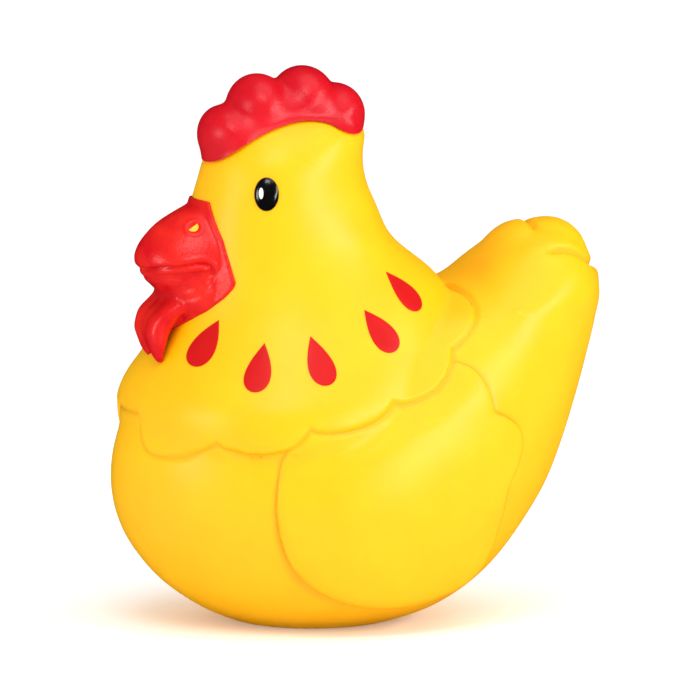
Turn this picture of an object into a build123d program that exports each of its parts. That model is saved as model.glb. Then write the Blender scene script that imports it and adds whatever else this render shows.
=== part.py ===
"""Squeaky rubber hen: a hollow soft-vinyl toy hen that stands on a flat base.

A red comb and a red beak with wattles are moulded apart and bonded on by pegs. Eyes, nostrils and the drops on
the hackle feathers are thin printed patches. A reed squeaker is pushed into the base.

Millimetres. +Z is up, the hen faces -Y, its left side is +X, and the origin is the middle of the flat base.
"""

from build123d import *
import math
import os

os.makedirs("parts", exist_ok=True)

# ---------------------------------------------------------------- overall sizes
WIDTH = 62.0  # over the wings
LENGTH = 81.5  # chest to tail
HEIGHT = 90.0  # floor to the top of the comb

# ---------------------------------------------------------------- walls, films and clearances
WALL = 2.4  # vinyl wall of the body
BASE_WALL = 3.4  # thicker vinyl round the squeaker
CHEEK_PLATE = 0.5  # skirt of the beak moulding where it lies on the head
PRINT_FILM = 0.3  # printed drops and nostrils
EYE_DOME = 0.7  # how far an eye stands out
GLINT_FILM = 0.2  # white spot on an eye
COMB_PEG_RADIUS = 2.0
BEAK_PEG_RADIUS = 3.0
PEG_BEYOND_WALL = 1.5  # peg length left inside the head

# ---------------------------------------------------------------- squeaker
BARREL_RADIUS = 6.0
BARREL_LENGTH = 12.0
BARREL_WALL = 1.0
FLANGE_RADIUS = 8.0
FLANGE_THICKNESS = 1.2
FLANGE_INSET = 0.5  # flange face above the floor
OUTLET_RADIUS = 1.5
BORE_CLEARANCE = 0.05  # radial, barrel in body
RECESS_CLEARANCE = 0.3  # radial, flange in body
SEAT_THICKNESS = 1.6
SEAT_ABOVE_FLOOR = 0.9  # space under the reed seat for air
TROUGH_WIDTH = 4.4
TROUGH_DEPTH = 2.4
CHANNEL_WIDTH = 2.6
CHANNEL_DEPTH = 1.3
REED_WIDTH = 3.4
REED_THICKNESS = 0.2
REED_GAP = 0.35  # reed to trough face at rest
REED_ROOT_GAP = 0.05
REED_END_GAP = 0.3  # trough end beyond the reed
WEDGE_HEIGHT = 1.6
WEDGE_DEPTH = 1.4
CAP_THICKNESS = 1.4
CAP_GAP = 0.5  # trough end to cap
CAP_HOLES = 6
CAP_HOLE_RADIUS = 0.6

# The forms below are drawn for a hen 62 wide, 81.5 long and 90 high, and stretched to the sizes above.
SX = WIDTH / 62.0
SY = LENGTH / 81.5
SZ = HEIGHT / 90.0

# Level sections of the torso and tail: height, front, back and half width.
TORSO = [
    (0.0, -13.0, 13.0, 13.0),
    (2.6, -18.9, 20.6, 19.0),
    (9.2, -27.2, 29.8, 25.3),
    (15.6, -31.4, 34.9, 28.2),
    (22.0, -33.0, 38.9, 29.5),
    (28.5, -32.6, 41.7, 29.0),
    (35.0, -30.0, 44.1, 27.0),
    (41.5, -19.0, 46.2, 23.5),
    (48.0, -2.0, 48.0, 19.0),
    (53.0, 14.5, 48.5, 15.0),
    (57.0, 24.0, 47.2, 12.0),
    (60.0, 30.3, 45.0, 9.2),
    (61.8, 34.5, 42.6, 5.8),
]

# Level sections of the hackle cape, neck and head.
NECK = [
    (31.0, -31.0, 20.0, 27.8),
    (34.0, -31.2, 22.6, 28.1),
    (36.5, -31.1, 24.3, 27.8),
    (40.0, -29.8, 24.8, 26.2),
    (43.5, -27.6, 24.6, 24.2),
    (47.0, -25.6, 24.1, 22.2),
    (51.0, -23.9, 22.8, 20.0),
    (54.5, -22.8, 20.4, 18.2),
    (58.5, -21.9, 16.9, 16.3),
    (62.5, -21.3, 13.1, 14.8),
    (67.3, -20.3, 10.0, 13.5),
    (71.5, -19.0, 8.2, 12.7),
    (75.5, -17.5, 7.8, 11.8),
    (79.0, -14.8, 6.6, 9.8),
    (81.5, -11.0, 3.6, 6.6),
    (82.8, -6.8, -0.4, 2.6),
]

OVAL_POINTS = 12
NECK_AXIS_Y = -5.0  # the hackle feathers fan out round this line

# Printed drops of one side: angle from the front round the neck, middle height, height and lean in degrees.
DROPS = [
    (31.5, 47.0, 7.9, 12.0),
    (60.0, 43.9, 7.9, 2.0),
    (85.0, 44.9, 7.9, -14.0),
    (113.5, 49.1, 8.2, -26.0),
    (134.5, 54.6, 8.4, -32.0),
]
DROP_WIDTH = 4.6


def placed(x, y, z):
    """A point of the drawn hen, stretched to the hen's real size."""
    return (x * SX, y * SY, z * SZ)


def oval(height, front, back, half_width, grow=0.0):
    """Level oval face, a closed curve through evenly spread points, grown outwards by grow."""
    middle_y = (front + back) / 2 * SY
    half_length = (back - front) / 2 * SY + grow
    half_width = half_width * SX + grow
    angles = [2 * math.pi * i / OVAL_POINTS - math.pi / 2 for i in range(OVAL_POINTS)]
    points = [(half_width * math.cos(a), middle_y + half_length * math.sin(a)) for a in angles]
    outline = Spline([(x, y, height) for x, y in points], periodic=True)
    return make_face(Wire([outline.edge()]))


def form(sections, grow=0.0):
    """Outer form of a stack of sections."""
    return loft([oval(z * SZ, front, back, half, grow) for z, front, back, half in sections])


def cavity(sections, bottom_wall, top_wall):
    """Inside of the same form: walls taken off the sides, the bottom and the top."""
    low = sections[0][0] * SZ
    high = sections[-1][0] * SZ
    shrink = (high - low - bottom_wall - top_wall) / (high - low)
    ovals = []
    for z, front, back, half in sections:
        inner_z = low + bottom_wall + (z * SZ - low) * shrink
        ovals.append(oval(inner_z, front, back, half, -WALL))
    return loft(ovals)


def egg(centre, half_sizes, tilt=0.0):
    """Ellipsoid of the drawn hen, tilted nose-down about X by tilt degrees, at the hen's real size."""
    return Pos(*placed(*centre)) * Rot(tilt, 0, 0) * scale(Sphere(1.0), by=placed(*half_sizes))


def section_at(sections, z):
    """Front, back and half width of a form at height z, read between its two nearest sections."""
    for lower, upper in zip(sections, sections[1:]):
        if lower[0] <= z <= upper[0]:
            t = (z - lower[0]) / (upper[0] - lower[0])
            return [a + (b - a) * t for a, b in zip(lower[1:], upper[1:])]
    raise ValueError("height outside the form")


def on_neck(angle, z):
    """Point on the neck at an angle from the front, towards the hen's left, in drawn sizes."""
    front, back, half = section_at(NECK, z)
    middle_y = (front + back) / 2
    half_length = (back - front) / 2
    dx = math.sin(math.radians(angle))
    dy = -math.cos(math.radians(angle))
    offset = NECK_AXIS_Y - middle_y
    a = (dx / half) ** 2 + (dy / half_length) ** 2
    b = 2 * offset * dy / half_length**2
    c = (offset / half_length) ** 2 - 1
    reach = (-b + math.sqrt(b * b - 4 * a * c)) / (2 * a)
    return (reach * dx, NECK_AXIS_Y + reach * dy, z)


def looking_along(point, angle):
    """Plane at a point whose normal is level and points out from the neck's axis, with +Y of the plane up."""
    across = (math.cos(math.radians(angle)), math.sin(math.radians(angle)), 0)
    out = (math.sin(math.radians(angle)), -math.cos(math.radians(angle)), 0)
    return Plane(origin=point, x_dir=across, z_dir=out)


def on_side(side, left_shape):
    """A shape drawn on the hen's left side, or its mirror image on the right."""
    return left_shape if side == "left" else mirror(left_shape, about=Plane.YZ)


def biggest(shape):
    """The largest solid of a cut shape, without the slivers beside it."""
    return max(shape.solids(), key=lambda s: s.volume)


# ---------------------------------------------------------------- outer forms
TAIL_LOBES = [
    ((0, 40.0, 57.0), (7.6, 6.2, 6.4), 0.0),
    ((0, 33.8, 56.2), (7.4, 5.2, 7.2), -40.0),
    ((0, 42.8, 53.4), (7.8, 6.2, 5.6), 0.0),
]
WING = ((19.5, 6.5, 24.0), (11.5, 20.5, 18.0), 0.0)
COMB_LOBES = [
    ((0, -15.1, 79.4), (5.9, 4.0, 4.4), 0.0),
    ((0, -9.3, 83.4), (6.0, 4.9, 5.4), 0.0),
    ((0, -1.6, 83.6), (6.0, 5.0, 6.4), 0.0),
    ((0, 4.0, 81.3), (5.9, 4.5, 5.3), 0.0),
]
UPPER_BEAK = ((0, -21.4, 62.3), (7.2, 9.3, 5.9), 28.0)
LOWER_BEAK = ((0, -21.6, 57.0), (6.0, 8.2, 3.9), 10.0)
WATTLE = ((2.7, -27.0, 48.9), (3.0, 3.1, 5.2), 0.0)


def body_form():
    """Outside of the yellow moulding: torso with tail, neck with cape and head, tail lobes and wings."""
    solid = form(TORSO) + form(NECK)
    for lobe in TAIL_LOBES:
        solid += egg(*lobe)
    wing = egg(*WING)
    return solid + wing + mirror(wing, about=Plane.YZ)


def pegs_up(points, radius, length):
    """Round pegs that stand straight up from the given points."""
    return [Pos(*p) * Cylinder(radius, length, align=(Align.CENTER, Align.CENTER, Align.MIN)) for p in points]


def comb_pegs():
    """Two pegs that run from inside the comb down through the top of the head."""
    foot = 82.8 * SZ - WALL - PEG_BEYOND_WALL - 3.0 * SZ
    spots = [(0, -9.0 * SY, foot), (0, 0.5 * SY, foot)]
    return pegs_up(spots, COMB_PEG_RADIUS, 84.0 * SZ - foot)


def beak_peg():
    """Peg that runs from inside the beak back through the front of the head."""
    front_y = -21.4 * SY
    length = WALL + PEG_BEYOND_WALL + 3.0 * SY
    return Pos(0, front_y - 2.0 * SY, 61.0 * SZ) * Rot(-90, 0, 0) * Cylinder(
        BEAK_PEG_RADIUS, length, align=(Align.CENTER, Align.CENTER, Align.MIN)
    )


def cheek_outline():
    """Prism across the hen that trims the beak's skirt: straight behind, curved under."""
    top = placed(0, -18.9, 69.3)[1:]
    corner = placed(0, -17.3, 56.6)[1:]
    under = [placed(0, y, z)[1:] for y, z in ((-19.0, 54.1), (-21.4, 51.9), (-25.4, 48.4))]
    front = [placed(0, y, z)[1:] for y, z in ((-34.0, 48.4), (-34.0, 69.3))]
    back = Line([(0, *top), (0, *corner)])
    curve = Spline([(0, *p) for p in (corner, *under)])
    rest = Polyline([(0, *under[-1]), *[(0, *p) for p in front], (0, *top)])
    face = make_face(Wire([back.edge(), curve.edge(), *rest.edges()]))
    return extrude(face, amount=20 * SX, both=True)


def beak_and_wattles(head, skirt_form):
    """Red moulding: hooked upper beak, lower beak, two wattles and the skirt that is bonded to the head."""
    wattle = egg(*WATTLE)
    solid = egg(*UPPER_BEAK) + egg(*LOWER_BEAK) + wattle + mirror(wattle, about=Plane.YZ)
    solid += skirt_form & cheek_outline()
    return biggest(solid - head) + beak_peg()


def comb(head):
    """Red comb of four lobes that straddles the head."""
    solid = egg(*COMB_LOBES[0])
    for lobe in COMB_LOBES[1:]:
        solid += egg(*lobe)
    solid = biggest(solid - head)
    for peg in comb_pegs():
        solid += peg
    return solid


def body_shell(outside, pieces_in_wall):
    """Yellow moulding: hollow, open only at the squeaker's bore and where the pegs pass through."""
    neck_low = NECK[0][0] * SZ
    inside = cavity(TORSO, BASE_WALL, WALL) + cavity(NECK, 0.02 * neck_low, WALL)
    shell = outside - inside
    recess_depth = FLANGE_INSET + FLANGE_THICKNESS
    bottom = (Align.CENTER, Align.CENTER, Align.MIN)
    shell -= Cylinder(FLANGE_RADIUS + RECESS_CLEARANCE, recess_depth, align=bottom)
    shell -= Cylinder(BARREL_RADIUS + BORE_CLEARANCE, BARREL_LENGTH, align=bottom)
    for piece in pieces_in_wall:
        shell -= piece
    return biggest(shell)


def drop_face(plane, height, width, lean):
    """Teardrop with its point up, leaning by lean degrees, drawn on a plane."""
    radius = width / 2
    centre_y = -height / 2 + radius
    tip = (0, height / 2)
    right = (radius, centre_y)
    left = (-radius, centre_y)
    side = Spline([right, (radius * 0.62, height * 0.14), tip], tangents=[(0, 1), (-0.45, 1)])
    other = Spline([tip, (-radius * 0.62, height * 0.14), left], tangents=[(-0.45, -1), (0, -1)])
    bottom = ThreePointArc(left, (0, -height / 2), right)
    face = make_face(Wire([side.edge(), other.edge(), bottom.edge()]))
    return plane * (Rot(0, 0, lean) * face)


def drop(index, side, outside, neck_grown):
    """One printed drop, lying on the hackle cape."""
    angle, z, height, lean = DROPS[index]
    plane = looking_along(placed(*on_neck(angle, z)), angle)
    face = drop_face(plane, height * SZ, DROP_WIDTH * SZ, -lean)
    prism = on_side(side, extrude(face, amount=4.0, both=True))
    return biggest((prism & neck_grown) - outside)


EYE_ANGLE = 58.5
EYE_HEIGHT = 71.0
EYE_HALF_WIDTH = 2.0
EYE_HALF_HEIGHT = 2.75
EYE_FACING = 63.0  # direction that an eye looks, from the front


def eye_and_glint(side, head):
    """An eye, a low black dome, and the white spot on it."""
    plane = looking_along(placed(*on_neck(EYE_ANGLE, EYE_HEIGHT)), EYE_FACING)
    dome = plane * scale(Sphere(1.0), by=(EYE_HALF_WIDTH, EYE_HALF_HEIGHT, EYE_DOME))
    bigger = (EYE_HALF_WIDTH + GLINT_FILM, EYE_HALF_HEIGHT + GLINT_FILM, EYE_DOME + GLINT_FILM)
    over = plane * scale(Sphere(1.0), by=bigger)
    spot = plane * (Pos(-0.8, 0.1, 0) * extrude(Ellipse(0.38, 0.92), amount=3.0))
    dome, shown_spot = on_side(side, dome), on_side(side, over & spot)
    return biggest(dome - head), biggest(shown_spot - dome - head)


NOSTRIL_SPOT = (6.0, -23.3, 65.3)
NOSTRIL_HALF_SIZES = (1.0, 0.75, 0.5)


def nostril(side, beak):
    """A nostril, a small yellow printed spot on the beak."""
    return biggest(on_side(side, egg(NOSTRIL_SPOT, NOSTRIL_HALF_SIZES, 20.0)) - beak)


# ---------------------------------------------------------------- squeaker
BOTTOM = (Align.CENTER, Align.CENTER, Align.MIN)
BARREL_BORE = BARREL_RADIUS - BARREL_WALL
BARREL_LOW = FLANGE_INSET
BARREL_HIGH = BARREL_LOW + BARREL_LENGTH
SEAT_LOW = BARREL_LOW + FLANGE_THICKNESS + SEAT_ABOVE_FLOOR
SEAT_HIGH = SEAT_LOW + SEAT_THICKNESS
CAP_LOW = BARREL_HIGH - CAP_THICKNESS
TROUGH_HIGH = CAP_LOW - CAP_GAP
REED_LOW = SEAT_HIGH + WEDGE_HEIGHT + REED_ROOT_GAP
REED_HIGH = TROUGH_HIGH - REED_END_GAP
TROUGH_FACE_Y = 0.3


def disc(radius, low, high):
    """Disc on the squeaker's axis between two heights."""
    return Pos(0, 0, low) * Cylinder(radius, high - low, align=BOTTOM)


def block(x_size, y_low, y_high, z_low, z_high):
    """Block centred across X."""
    size = (x_size, y_high - y_low, z_high - z_low)
    return Pos(0, (y_low + y_high) / 2, (z_low + z_high) / 2) * Box(*size)


def squeaker_barrel():
    """Cup with a flange, open at its inner end and with a round outlet in its floor."""
    cup = disc(BARREL_RADIUS, BARREL_LOW, BARREL_HIGH)
    cup += disc(FLANGE_RADIUS, BARREL_LOW, BARREL_LOW + FLANGE_THICKNESS)
    cup -= disc(BARREL_BORE, BARREL_LOW + FLANGE_THICKNESS, BARREL_HIGH)
    return cup - disc(OUTLET_RADIUS, BARREL_LOW, BARREL_LOW + FLANGE_THICKNESS)


def squeaker_reed_seat():
    """Disc pressed into the barrel with a trough standing on it; the reed beats on the trough's edges."""
    seat = disc(BARREL_BORE, SEAT_LOW, SEAT_HIGH)
    seat += block(TROUGH_WIDTH, TROUGH_FACE_Y - TROUGH_DEPTH, TROUGH_FACE_Y, SEAT_HIGH, TROUGH_HIGH)
    closed_end = TROUGH_HIGH - (TROUGH_DEPTH - CHANNEL_DEPTH)
    return seat - block(CHANNEL_WIDTH, TROUGH_FACE_Y - CHANNEL_DEPTH, TROUGH_FACE_Y, SEAT_LOW, closed_end)


def squeaker_reed_wedge():
    """Block that clamps the foot of the reed against the trough."""
    return block(TROUGH_WIDTH, TROUGH_FACE_Y, TROUGH_FACE_Y + WEDGE_DEPTH, SEAT_HIGH, SEAT_HIGH + WEDGE_HEIGHT)


def squeaker_reed():
    """Free tongue of the plastic-film reed."""
    low_y = TROUGH_FACE_Y + REED_GAP
    return block(REED_WIDTH, low_y, low_y + REED_THICKNESS, REED_LOW, REED_HIGH)


def squeaker_end_cap():
    """Perforated disc that closes the barrel's inner end."""
    cap = disc(BARREL_BORE, CAP_LOW, BARREL_HIGH)
    ring = BARREL_BORE * 0.6
    for i in range(CAP_HOLES):
        turn = 2 * math.pi * i / CAP_HOLES
        centre = (ring * math.cos(turn), ring * math.sin(turn), 0)
        cap -= Pos(*centre) * disc(CAP_HOLE_RADIUS, CAP_LOW, BARREL_HIGH)
    return cap


# ---------------------------------------------------------------- write the parts
def write(name, shape):
    """One STEP file for one node."""
    export_step(shape, "parts/" + name + ".step")


outside = body_form()
neck = form(NECK)
beak_piece = beak_and_wattles(neck + form(TORSO), form(NECK, CHEEK_PLATE))
comb_piece = comb(neck)
write("beak_and_wattles", beak_piece)
write("comb", comb_piece)
write("body_shell", body_shell(outside, [beak_peg(), *comb_pegs()]))

neck_grown = form(NECK, PRINT_FILM)
for side in ("left", "right"):
    for index in range(len(DROPS)):
        write(f"{side}_hackle_drop_{index + 1}", drop(index, side, outside, neck_grown))
    eye_piece, glint_piece = eye_and_glint(side, neck)
    write(side + "_eye", eye_piece)
    write(side + "_eye_glint", glint_piece)
    write(side + "_nostril", nostril(side, beak_piece))

write("squeaker_barrel", squeaker_barrel())
write("squeaker_reed_seat", squeaker_reed_seat())
write("squeaker_reed_wedge", squeaker_reed_wedge())
write("squeaker_reed", squeaker_reed())
write("squeaker_end_cap", squeaker_end_cap())
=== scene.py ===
import math

import bmesh
import bpy
import numpy as np
from mathutils import Matrix, Vector
from mathutils.bvhtree import BVHTree
from mathutils.kdtree import KDTree


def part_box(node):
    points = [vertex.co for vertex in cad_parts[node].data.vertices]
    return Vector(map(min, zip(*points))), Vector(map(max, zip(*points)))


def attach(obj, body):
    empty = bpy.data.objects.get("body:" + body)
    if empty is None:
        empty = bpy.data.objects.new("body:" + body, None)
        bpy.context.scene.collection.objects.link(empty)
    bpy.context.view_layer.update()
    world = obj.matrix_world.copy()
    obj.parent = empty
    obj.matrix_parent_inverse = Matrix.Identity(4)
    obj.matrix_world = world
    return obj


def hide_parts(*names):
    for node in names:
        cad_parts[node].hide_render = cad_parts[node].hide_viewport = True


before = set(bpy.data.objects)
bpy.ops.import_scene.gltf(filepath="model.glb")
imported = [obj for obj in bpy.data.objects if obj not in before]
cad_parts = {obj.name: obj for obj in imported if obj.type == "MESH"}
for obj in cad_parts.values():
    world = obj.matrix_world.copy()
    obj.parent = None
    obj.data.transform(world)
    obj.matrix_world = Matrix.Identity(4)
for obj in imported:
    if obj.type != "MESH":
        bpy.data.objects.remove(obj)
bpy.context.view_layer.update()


# ---------------------------------------------------------------- yellow body
# One hollow moulding of soft yellow vinyl, cast in a closed mould. The hackle cape, folded wings and tail
# feathers are low relief in its skin. Its floor is flat, with a recess and a bore for the squeaker. The hen
# faces -Y and stands on z = 0.

MM = 0.001
BODY_SIZE = (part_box("body_shell")[1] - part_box("body_shell")[0]) / MM
DRAWN_SIZE = (62.0, 82.05, 82.8)  # width, length and height of the hen that the ovals below draw
STRETCH = np.array(tuple(BODY_SIZE)) / DRAWN_SIZE
WALL = 2.4
SKIN_VOXEL = 0.8
FLOOR_RADIUS = 12.6

# Level ovals, in millimetres: height, front, back and half width.
TORSO_OVALS = (
    (0.0, -13.0, 13.0, 13.0),
    (2.6, -18.9, 20.6, 19.0),
    (9.2, -27.2, 29.8, 25.3),
    (15.6, -31.4, 34.9, 28.2),
    (22.0, -33.0, 38.9, 29.5),
    (28.5, -32.6, 41.7, 29.0),
    (35.0, -30.0, 44.1, 27.0),
    (41.5, -19.0, 46.2, 23.5),
    (48.0, -0.5, 48.0, 19.0),
    (53.0, 19.0, 48.5, 15.4),
    (55.0, 23.4, 48.0, 13.9),
    (57.0, 26.6, 47.2, 12.2),
    (60.0, 31.3, 45.0, 9.2),
    (61.8, 34.7, 42.6, 5.8),
)
NECK_OVALS = (
    (31.0, -31.0, 20.0, 27.8),
    (34.0, -31.2, 22.6, 28.1),
    (36.5, -31.1, 24.3, 27.8),
    (40.0, -29.8, 24.8, 26.2),
    (43.5, -27.6, 24.6, 24.2),
    (47.0, -25.6, 24.1, 22.2),
    (51.0, -23.9, 22.8, 20.0),
    (54.5, -22.8, 20.2, 18.2),
    (58.5, -21.9, 15.9, 16.3),
    (62.5, -21.3, 12.3, 14.8),
    (67.3, -20.3, 10.3, 13.5),
    (71.5, -19.0, 8.5, 12.7),
    (75.5, -17.8, 8.0, 11.8),
    (79.0, -15.7, 8.7, 9.9),
    (81.5, -12.0, 6.6, 7.0),
    (82.8, -7.4, 2.4, 3.0),
)
TAIL_LOBES = (  # centre, half sizes, tilt about X in degrees
    ((0, 40.4, 57.0), (7.6, 6.7, 6.6), 0),
    ((0, 34.3, 56.9), (7.4, 5.2, 7.2), -40),
    ((0, 42.8, 53.4), (7.8, 6.2, 5.6), 0),
)


def flow(points, spacing):
    """Closely spaced points on a smooth curve through the given ones."""
    p = np.asarray(points, float)
    p = np.vstack([2 * p[0] - p[1], p, 2 * p[-1] - p[-2]])
    gap = np.linalg.norm(np.diff(p, axis=0), axis=1)
    pieces = []
    for i in range(1, len(p) - 2):
        slopes = []
        for k in (i, i + 1):
            ahead, behind = (p[k + 1] - p[k]) / gap[k], (p[k] - p[k - 1]) / gap[k - 1]
            slopes.append((ahead * gap[k - 1] + behind * gap[k]) / (gap[k] + gap[k - 1]) * gap[i])
        count = max(1, round(gap[i] / spacing))
        t = (np.arange(count) / count)[:, None]
        start = (2 * t**3 - 3 * t**2 + 1) * p[i] + (t**3 - 2 * t**2 + t) * slopes[0]
        pieces.append(start + (3 * t**2 - 2 * t**3) * p[i + 1] + (t**3 - t**2) * slopes[1])
    return np.vstack(pieces + [p[-2:-1]])


def new_piece(name, points, faces):
    """Mesh object from points in millimetres."""
    mesh = bpy.data.meshes.new(name)
    mesh.from_pydata((np.asarray(points, float) * MM).tolist(), [], faces)
    mesh.update()
    piece = bpy.data.objects.new(name, mesh)
    bpy.context.scene.collection.objects.link(piece)
    return piece


def tube(name, rings):
    """Closed skin over a stack of rings with equal numbers of points, its ends closed by fans."""
    rings = [np.asarray(r, float) for r in rings]
    n = len(rings[0])
    points = np.vstack(rings + [rings[0].mean(0)[None], rings[-1].mean(0)[None]])
    faces = []
    for i in range(len(rings) - 1):
        for j in range(n):
            k = (j + 1) % n
            faces.append((i * n + j, i * n + k, (i + 1) * n + k, (i + 1) * n + j))
    last = (len(rings) - 1) * n
    for j in range(n):
        k = (j + 1) % n
        faces.append((k, j, len(points) - 2))
        faces.append((last + j, last + k, len(points) - 1))
    return new_piece(name, points, faces)


def oval_stack(name, ovals, around=72):
    """Smooth closed form through level ovals, each with its middle's X where it isn't 0."""
    rings = []
    for height, front, back, half, *middle in flow(ovals, 1.2):
        turn = np.linspace(0, 2 * math.pi, around, endpoint=False)
        x = half * np.cos(turn) + sum(middle)
        y = (front + back) / 2 + (back - front) / 2 * np.sin(turn)
        rings.append(np.stack([x, y, np.full(around, height)], 1) * STRETCH)
    return tube(name, rings)


EGG_RINGS = 32


def egg(name, centre, half_sizes, tilt=0):
    """Closed ellipsoid, tilted about X by tilt degrees."""
    down = np.linspace(0.03, math.pi - 0.03, EGG_RINGS)
    turn = np.linspace(0, 2 * math.pi, 2 * EGG_RINGS, endpoint=False)
    stack = []
    c, s = math.cos(math.radians(tilt)), math.sin(math.radians(tilt))
    spin = np.array(((1, 0, 0), (0, c, -s), (0, s, c)))
    for a in down[::-1]:
        across, along = np.sin(a) * np.cos(turn), np.sin(a) * np.sin(turn)
        ring = np.stack([across, along, np.full(len(turn), np.cos(a))], 1)
        stack.append(((ring * half_sizes) @ spin.T + centre) * STRETCH)
    return tube(name, stack)


def joined(name, pieces):
    """One object from several, which are used up."""
    bpy.ops.object.select_all(action="DESELECT")
    for piece in pieces:
        piece.select_set(True)
    bpy.context.view_layer.objects.active = pieces[0]
    bpy.ops.object.join()
    pieces[0].name = name
    return pieces[0]


def worked(piece, kind, **settings):
    """Runs one modifier on a piece and keeps its result as the piece's mesh."""
    modifier = piece.modifiers.new(kind.lower(), kind)
    for key, value in settings.items():
        setattr(modifier, key, value)
    bpy.context.view_layer.update()
    shaped = piece.evaluated_get(bpy.context.evaluated_depsgraph_get())
    mesh = bpy.data.meshes.new_from_object(shaped)
    piece.modifiers.clear()
    piece.data = mesh
    return piece


def copy_of(piece, name):
    """A separate object with the same mesh."""
    other = piece.copy()
    other.data = piece.data.copy()
    other.name = name
    bpy.context.scene.collection.objects.link(other)
    return other


def points_of(piece):
    """A piece's points in millimetres."""
    flat = np.empty(len(piece.data.vertices) * 3)
    piece.data.vertices.foreach_get("co", flat)
    return flat.reshape(-1, 3) / MM


def normals_of(piece):
    """The unit normal at each of a piece's points."""
    flat = np.empty(len(piece.data.vertices) * 3)
    piece.data.vertices.foreach_get("normal", flat)
    return flat.reshape(-1, 3)


def set_points(piece, points):
    """Moves a piece's points to the given places in millimetres."""
    piece.data.vertices.foreach_set("co", (np.asarray(points) * MM).ravel())
    piece.data.update()


def surface_of(piece):
    """Search tree over a piece's surface, in metres."""
    return BVHTree.FromPolygons(
        [v.co.copy() for v in piece.data.vertices], [tuple(p.vertices) for p in piece.data.polygons]
    )


def on_surface(tree, points):
    """Nearest places on a surface and the normals there, in millimetres."""
    found = [tree.find_nearest(Vector(p) * MM) for p in np.asarray(points, float)]
    return np.array([f[0] for f in found]) / MM, np.array([f[1] for f in found])


def mirrored(points):
    """The same places on the hen's other side."""
    return np.asarray(points, float) * (-1, 1, 1)


def to_curve(points, curve):
    """Distance from each point to a closely spaced curve, and the nearest curve point's number."""
    tree = KDTree(len(curve))
    for i, p in enumerate(curve):
        tree.insert(p, i)
    tree.balance()
    found = [tree.find(p) for p in points]
    return np.array([f[2] for f in found]), np.array([f[1] for f in found])


def ease(x):
    """Smooth step from 0 to 1."""
    x = np.clip(x, 0, 1)
    return x * x * (3 - 2 * x)


def finer_near(piece, curves, reach):
    """Halves the mesh's edges within reach of any of the curves."""
    distance, _ = to_curve(points_of(piece), np.vstack(curves))
    near = distance < reach
    bm = bmesh.new()
    bm.from_mesh(piece.data)
    bm.verts.ensure_lookup_table()
    edges = [e for e in bm.edges if near[e.verts[0].index] and near[e.verts[1].index]]
    bmesh.ops.subdivide_edges(bm, edges=edges, cuts=1, use_grid_fill=True)
    bmesh.ops.triangulate(bm, faces=[f for f in bm.faces if len(f.verts) > 4])
    bm.to_mesh(piece.data)
    bm.free()


def smooth_shaded(piece, sharp_degrees):
    """Smooth shading, with edges sharper than an angle left crisp."""
    piece.data.polygons.foreach_set("use_smooth", [True] * len(piece.data.polygons))
    piece.data.set_sharp_from_angle(angle=math.radians(sharp_degrees))
    piece.data.update()


forms = [oval_stack("torso", TORSO_OVALS), oval_stack("neck", NECK_OVALS)]
forms += [egg("tail_lobe", *lobe) for lobe in TAIL_LOBES]
body = joined("vinyl_body", forms)
worked(body, "REMESH", mode="VOXEL", voxel_size=SKIN_VOXEL * MM)
worked(body, "SMOOTH", factor=0.5, iterations=11)

# Lower edge of the cape on the hen's left, one run of points for each feather, from the breast to the back.
CAPE_FEATHERS = (
    (
        (3.7, -31.3, 35.4), (4.2, -31.3, 34.0), (4.8, -31.4, 32.7), (7.4, -30.8, 29.9),
        (12.0, -29.2, 29.4), (15.3, -26.8, 29.9), (17.7, -24.9, 31.0), (20.0, -23.4, 32.3),
    ),
    (
        (20.0, -23.4, 32.3), (20.8, -22.7, 31.6), (21.8, -21.4, 31.1), (23.7, -18.1, 30.3),
        (25.8, -14.6, 31.0), (26.5, -12.1, 32.4), (27.3, -10.2, 34.8),
    ),
    (
        (27.3, -10.2, 34.8), (27.7, -8.5, 34.3), (28.0, -6.5, 34.2), (28.1, -2.9, 34.6),
        (27.6, 1.1, 35.8), (26.9, 3.2, 37.1), (26.3, 4.5, 38.4),
    ),
    (
        (26.3, 4.5, 38.4), (26.0, 5.9, 38.0), (25.8, 7.2, 38.2), (25.1, 10.9, 39.2),
        (23.7, 13.9, 41.1), (22.4, 15.5, 43.3), (20.4, 16.5, 45.9),
    ),
    (
        (20.4, 16.5, 45.9), (19.9, 17.9, 46.5), (19.3, 19.0, 47.3), (17.0, 21.6, 49.8),
        (14.7, 22.4, 51.5), (11.4, 22.4, 53.5), (7.0, 21.7, 54.8), (0.0, 21.0, 55.4),
    ),
)
# The feather on the right of the breast isn't a mirror image: it ends further out, in a notch.
CAPE_BREAST_NOTCH = (-11.6, -29.2, 35.6)
CAPE_RIGHT_BREAST = (
    (-20.0, -23.4, 32.3), (-17.4, -25.3, 30.2), (-15.6, -26.9, 29.8), (-14.2, -28.0, 30.6),
    (-13.0, -28.6, 32.2), (-12.2, -28.9, 34.0), CAPE_BREAST_NOTCH,
)
CAPE_BREAST_STEP = (CAPE_BREAST_NOTCH, (-8.0, -30.6, 35.2), (-2.4, -31.4, 35.2), CAPE_FEATHERS[0][0])


def feathered_edge(feathers, spacing=0.1):
    """One curve along runs of points that meet in sharp notches."""
    return np.vstack([flow(run, spacing)[:-1] for run in feathers])


left_edge = feathered_edge(CAPE_FEATHERS)
right_feathers = [mirrored(run)[::-1] for run in CAPE_FEATHERS[:0:-1]]
right_edge = feathered_edge(right_feathers + [CAPE_RIGHT_BREAST])
breast = flow(CAPE_BREAST_STEP, 0.1)[:-1]
skin = surface_of(body)
cape_edge = on_surface(skin, np.vstack([right_edge, breast, left_edge]))[0]

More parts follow.
